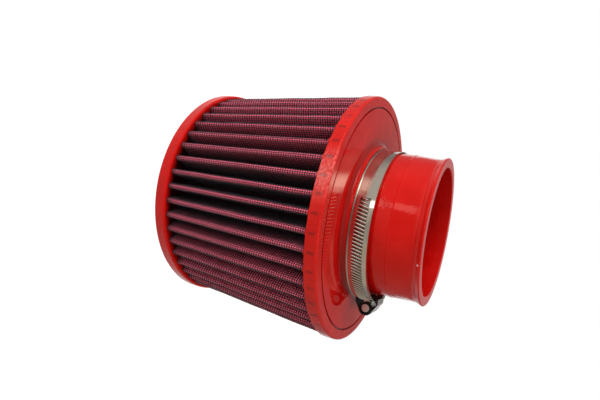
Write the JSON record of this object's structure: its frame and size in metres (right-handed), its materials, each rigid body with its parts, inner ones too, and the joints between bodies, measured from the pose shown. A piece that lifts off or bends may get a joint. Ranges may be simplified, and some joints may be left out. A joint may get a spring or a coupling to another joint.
{
  "type": "cone air filter",
  "caption": "Pleated cotton cone air filter between moulded red caps, with a round neck and a worm-drive hose clamp to hold it on an intake pipe.",
  "frame": {"origin": "centre of the rear cap's back face, on which the filter stands", "axes": "+Z along the axis towards the mouth of the neck, +X towards the clamp's screw housing"},
  "size_m": [0.15, 0.15, 0.1537],
  "materials": {
    "moulded_red": "glossy",
    "oiled_cotton": "matte",
    "coated_mesh": "satin",
    "clamp_steel": "satin",
    "screw_steel": "satin"
  },
  "bodies": {
    "filter": {"rear_cap": "moulded_red", "cotton_media": "oiled_cotton", "outer_mesh": "coated_mesh", "inner_mesh": "coated_mesh", "front_cap": "moulded_red", "clamp_band": "clamp_steel", "clamp_housing": "clamp_steel"},
    "screw": {"clamp_screw": "screw_steel"}
  },
  "joints": [
    {"name": "clamp_screw_turn", "type": "hinge", "parent": "filter", "child": "screw", "pos_m": [0.05249, 0, 0.12075], "axis": [0, 1, 0], "continuous": true}
  ]
}
